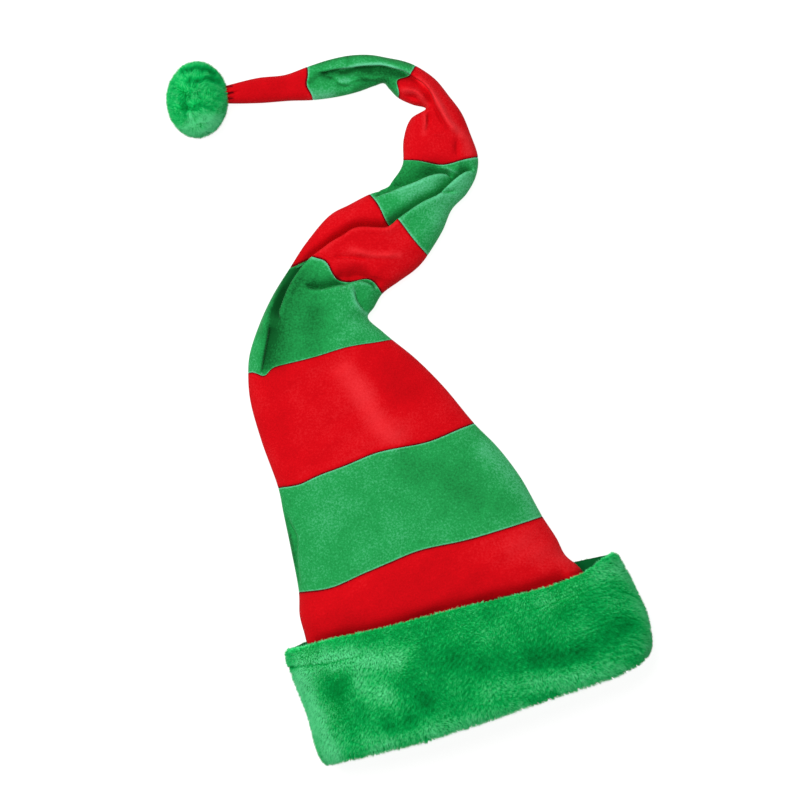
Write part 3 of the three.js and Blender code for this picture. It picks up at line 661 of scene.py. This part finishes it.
def pile(name, roots, tips, away, wide, shade, material, seed):
    """Joins fibres into one mesh: each is a slim three-sided spike with a cell of the bake map to itself."""
    count = len(roots)
    random = np.random.default_rng(seed)
    along = (tips - roots) / np.linalg.norm(tips - roots, axis=1)[:, None]
    side = np.cross(along, random.normal(0, 1, roots.shape))
    side /= np.linalg.norm(side, axis=1)[:, None]
    other = np.cross(along, side)
    turns = (0, 2 * math.pi / 3, 4 * math.pi / 3)
    spokes = np.stack([math.cos(turn) * side + math.sin(turn) * other for turn in turns], axis=1)
    feet = roots[:, None] + 0.5 * wide * spokes
    points = np.concatenate([feet, tips[:, None]], axis=1).reshape(-1, 3) * MM
    mesh = bpy.data.meshes.new(name)
    mesh.vertices.add(4 * count)
    mesh.vertices.foreach_set("co", points.ravel())
    mesh.loops.add(9 * count)
    corners = 4 * np.arange(count)[:, None] + np.array((0, 1, 3, 1, 2, 3, 2, 0, 3))
    mesh.loops.foreach_set("vertex_index", corners.ravel())
    mesh.polygons.add(3 * count)
    mesh.polygons.foreach_set("loop_start", 3 * np.arange(3 * count))
    mesh.update(calc_edges=True)
    tip = np.tile((0.0, 0.0, 0.0, 1.0), count)
    mesh.attributes.new("tip", "FLOAT", "POINT").data.foreach_set("value", tip)
    mesh.attributes.new("shade", "FLOAT", "POINT").data.foreach_set("value", np.repeat(shade, 4))
    cells = math.ceil(math.sqrt(count))
    cell = np.column_stack([np.arange(count) % cells, np.arange(count) // cells])
    spike = np.array([((k + u) / 3, v) for k in range(3) for u, v in ((0.1, 0.05), (0.9, 0.05), (0.5, 0.95))])
    bake = mesh.uv_layers.new(name="OFBake")
    bake.data.foreach_set("uv", ((cell[:, None] + spike) / cells).ravel())
    lit = away + 0.5 * ease(away[:, 2:], -0.5, 0.2) * np.array((0, 0, 1))
    soft = np.concatenate([lit[:, None] + 0.35 * spokes, lit[:, None]], axis=1).reshape(-1, 3)
    soft /= np.linalg.norm(soft, axis=1)[:, None]
    mesh.shade_smooth()
    mesh.normals_split_custom_set_from_vertices(soft)
    mesh.materials.append(material)
    piece = bpy.data.objects.new(name, mesh)
    bpy.context.scene.collection.objects.link(piece)
    return piece


def plush(name, tones, sheen):
    """Plush pile: dark at the roots as painted shade down among the fibres, paler toward the tips and where
    the pile is stroked up, and toned by the 'shade' attribute, which also holds painted light and shade.
    """
    cloth = bpy.data.materials.new(name)
    cloth.use_nodes = True
    tree = cloth.node_tree
    shader = tree.nodes["Principled BSDF"]
    shader.inputs["Roughness"].default_value = 0.75
    shader.inputs["Specular IOR Level"].default_value = 0.05
    shader.inputs["Sheen Weight"].default_value = 0.05
    shader.inputs["Sheen Roughness"].default_value = 0.4
    shader.inputs["Sheen Tint"].default_value = sheen
    tip = tree.nodes.new("ShaderNodeAttribute")
    tip.attribute_name = "tip"
    shade = tree.nodes.new("ShaderNodeAttribute")
    shade.attribute_name = "shade"
    stroke = maths(tree, "MULTIPLY_ADD", shade.outputs["Fac"], 0.34)
    stroke.node.inputs[2].default_value = 0.4
    level = maths(tree, "MULTIPLY_ADD", tip.outputs["Fac"], 0.3)
    tree.links.new(stroke, level.node.inputs[2])
    ramp = tree.nodes.new("ShaderNodeValToRGB")
    for _ in tones[2:]:
        ramp.color_ramp.elements.new(0.5)
    for stop, position, tone in zip(ramp.color_ramp.elements, (0, 0.3, 0.58, 1), tones):
        stop.position = position
        stop.color = linear(*tone)
    tree.links.new(level, ramp.inputs["Fac"])
    tree.links.new(ramp.outputs["Color"], shader.inputs["Base Color"])
    return cloth


def behind_hem(places):
    """Whether a place is on the lower layer behind the upper hem, where little light comes; the plush there
    is painted darker as shade.
    """
    return ease(places[:, 1], -222, -212) * (places[:, 2] < 28)


green_plush = plush(
    "green_plush", tones=((0, 60, 28), (0, 142, 62), (2, 206, 99), (112, 248, 170)), sheen=(0.6, 1, 0.75, 1))

backing_shape, column, row = grid_sheet(CUFF_COLUMNS, CUFF_ROWS)
across, upper = ring_places(CUFF_COLUMNS, CUFF_TOP_COLUMNS)
station = row * len(CUFF_LOOP) / CUFF_ROWS
dim = backing_shape.verts.layers.float.new("shade")
places = cuff_surface(station, across[column], upper[column])
# The backing is painted a little dark, as shade down among the fibres, and darker as painted shade behind the
# hem.
for vertex, where, shade in zip(backing_shape.verts, places * MM, -0.2 - 0.75 * behind_hem(places)):
    vertex.co = where
    vertex[dim] = shade
bmesh.ops.remove_doubles(backing_shape, verts=backing_shape.verts, dist=1e-6)
bmesh.ops.recalc_face_normals(backing_shape, faces=backing_shape.faces)
backing = make_piece("cuff_backing", backing_shape, green_plush)
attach(backing, "root")
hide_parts("cuff")

stations = np.linspace(HEM_STATION, SEWN_STATION, 110)
row, column = np.meshgrid(stations, np.arange(CUFF_COLUMNS + 1), indexing="ij")
cuff_places = cuff_surface(row.ravel(), across[column.ravel()], upper[column.ravel()]).reshape(*row.shape, 3)
cuff_out = np.cross(np.gradient(cuff_places, axis=0), np.gradient(cuff_places, axis=1))
cuff_out /= np.maximum(np.linalg.norm(cuff_out, axis=2), 1e-9)[:, :, None]
seen = (row < FOLD_STATION) & upper[column]
front_roots, front_out = plant(cuff_places, cuff_out, np.where(seen, FRONT_PER_MM2, 0), 21)
rest_roots, rest_out = plant(cuff_places, cuff_out, np.where(seen, 0, REST_PER_MM2), 22)
on_left = front_roots[:, 0] < 0
tufts = (
    ("cuff_pile_front_left", front_roots[on_left], front_out[on_left], 14, 31),
    ("cuff_pile_front_right", front_roots[~on_left], front_out[~on_left], 14, 32),
    ("cuff_pile_under_and_inside", rest_roots, rest_out, 6, 33),
)
for name, roots, out, every, seed in tufts:
    x, y, z = roots.T
    turn = PILE_LIE + ripple(x, y, 5, (120, 80, 60, 45), 0.9)
    lie = PILE_LEAN * np.column_stack([np.cos(turn), np.sin(turn), np.zeros(len(roots))])
    from_stitch, _, (along_stitch, _), _ = beside(STITCHING, x, y)
    parted = np.exp(-((from_stitch / 1.2) ** 2)) * np.interp(along_stitch, (0, 40, 60), (0.9, 0.8, 0.12))
    parted = np.where(z > 30, parted, 0)
    behind = behind_hem(roots)
    short = 0.3 * ease(out[:, 1], 0.3, 0.8) + 0.4 * behind + 0.5 * parted
    tips = comb(roots, out, lie, PILE_LENGTH * (1 - np.minimum(short, 0.8)), every, LOCK_PULL, seed)
    # Shade of each fibre: the strokes; painted shade in the stitching's parting and behind the hem; random
    # tone; and a painted highlight on the pile along the upper hem's edge.
    shade = stroked(CUFF_NAP_AND_LIGHT, x, y) * ease(out[:, 2], -0.2, 0.3)
    shade += ripple(x + z, y - z, 9, (60, 45, 34, 26, 19), 0.16) - 1.1 * parted - 1.2 * behind
    shade += ripple(x + z, y - z, 8, (3.1, 3.7, 4.3, 5.1, 6.2, 7.4), 0.2) + 0.5 * ease(out[:, 1], 0.5, 0.9)
    shade += np.random.default_rng(seed + 10).normal(0, 0.16, len(roots))
    fibres = pile(name, roots, tips, out, PILE_WIDE, shade, green_plush, seed + 20)
    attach(fibres, "root")

# Pompom
# A ball of the same plush, tied round the gathered tip of the tail: a firm core with longer pile standing out
# on every side, in locks that part from each other and press flat on the table.
POMPOM = np.array((-86.3, 271.7, 26), float)
POMPOM_CORE = np.array((22, 28.4, 21.5), float)
POMPOM_TURN = math.radians(-17)
POMPOM_FIBRES = 36000
POMPOM_PILE = 5.4
POMPOM_LOCK = 9
TAIL_CLEAR = 0.985
TAIL_SIDE = Vector((17, -3, 0)).normalized()
# Painted light and shade on the pompom: dark strokes paint shade into its creases and darken its left edge,
# pale strokes paint light on its lower side.
POMPOM_LIGHT_AND_SHADE = (
    (-1, 2.4, ((-91, 299.7), (-84, 299), (-76.6, 297.8), (-69, 293.5), (-64.5, 289))),
    (-0.8, 2.8, ((-89, 289.3), (-81.6, 288), (-73.4, 286), (-63, 280.4))),
    (-0.55, 3.2, ((-98.6, 274.4), (-98.4, 265.4), (-101.8, 257.6))),
    (-0.4, 4.5, ((-93.3, 266), (-83.7, 265), (-73, 260.7))),
    (0.65, 7, ((-96, 256.8), (-88, 251.4), (-76, 250.8))),
    (0.75, 6, ((-104, 249), (-86, 241), (-66, 248))),
    (-0.2, 4, ((-100, 296.5), (-107, 285.6), (-110, 272.6), (-109, 260.7))),
)

turned = np.array((
    (math.cos(POMPOM_TURN), -math.sin(POMPOM_TURN), 0),
    (math.sin(POMPOM_TURN), math.cos(POMPOM_TURN), 0),
    (0, 0, 1)))
core_shape = bmesh.new()
bmesh.ops.create_icosphere(core_shape, subdivisions=5, radius=1)
dim = core_shape.verts.layers.float.new("shade")
# The core is painted dark, as shade down among the fibres.
for vertex in core_shape.verts:
    place = turned @ (np.array(vertex.co) * POMPOM_CORE) + POMPOM
    vertex.co = place * MM
    vertex[dim] = -0.4
core = make_piece("pompom_core", core_shape, green_plush)
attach(core, "root")
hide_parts("pompom")

random = np.random.default_rng(41)
direction = random.normal(0, 1, (POMPOM_FIBRES, 3))
direction /= np.linalg.norm(direction, axis=1)[:, None]
roots = (direction * POMPOM_CORE) @ turned.T + POMPOM
out = (direction / POMPOM_CORE) @ turned.T
out /= np.linalg.norm(out, axis=1)[:, None]
free = out @ np.array(TAIL_SIDE) < TAIL_CLEAR
roots, out = roots[free], out[free]
turn = ripple(roots[:, 0], roots[:, 1] + roots[:, 2], 45, (30, 22, 16, 12), 1.6)
lie = PILE_LEAN * np.column_stack([np.cos(turn), np.sin(turn), np.zeros(len(roots))])
tips = comb(roots, out, lie, np.full(len(roots), POMPOM_PILE), POMPOM_LOCK, LOCK_PULL, 42)
shade = stroked(POMPOM_LIGHT_AND_SHADE, tips[:, 0], tips[:, 1]) * ease(out[:, 2], -0.1, 0.3)
shade += random.normal(0, 0.2, len(roots)) + 0.1
shade += ripple(tips[:, 0] + tips[:, 2], tips[:, 1] - tips[:, 2], 46, (3.1, 3.7, 4.6, 5.8, 7.5, 11), 0.24)
fibres = pile("pompom_pile", roots, tips, out, PILE_WIDE, shade, green_plush, 43)
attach(fibres, "root")

# Floor, light and camera
# A pale studio sweep under the hat, a broad soft lamp from the upper left as the hat is seen, white fill all
# round, and a camera straight above with a long lens.
floor_shape = bmesh.new()
bmesh.ops.create_grid(floor_shape, x_segments=2, y_segments=2, size=8)
paper = bpy.data.materials.new("studio_paper")
paper.use_nodes = True
paper_shader = paper.node_tree.nodes["Principled BSDF"]
paper_shader.inputs["Base Color"].default_value = (0.2, 0.2, 0.2, 1)
paper_shader.inputs["Roughness"].default_value = 0.9
paper_shader.inputs["Emission Color"].default_value = (1, 1, 1, 1)
paper_shader.inputs["Emission Strength"].default_value = 0.92
floor = make_piece("studio_floor", floor_shape, paper)

lamp = bpy.data.lights.new("soft_lamp", "AREA")
lamp.shape = "DISK"
lamp.size = 1.6
lamp.energy = 66
key = bpy.data.objects.new("soft_lamp", lamp)
key.location = Vector((-0.34, 0.63, 1.75)).normalized() * 2.6
key.rotation_euler = (-key.location).to_track_quat("-Z", "Y").to_euler()
bpy.context.scene.collection.objects.link(key)

world = bpy.data.worlds.new("white_fill")
world.use_nodes = True
world.node_tree.nodes["Background"].inputs["Color"].default_value = (1, 1, 1, 1)
world.node_tree.nodes["Background"].inputs["Strength"].default_value = 0.27
bpy.context.scene.world = world

CAMERA_HEIGHT = 6
VIEW_WIDE = 0.68
lens = bpy.data.cameras.new("camera")
lens.sensor_width = 36
lens.lens = lens.sensor_width * CAMERA_HEIGHT / VIEW_WIDE
lens.clip_end = 50
eye = bpy.data.objects.new("camera", lens)
eye.location = (0.0035, -0.0215, CAMERA_HEIGHT)
eye.rotation_euler = (0, 0, math.radians(-17))
bpy.context.scene.collection.objects.link(eye)
bpy.context.scene.camera = eye
bpy.context.scene.view_settings.view_transform = "Standard"
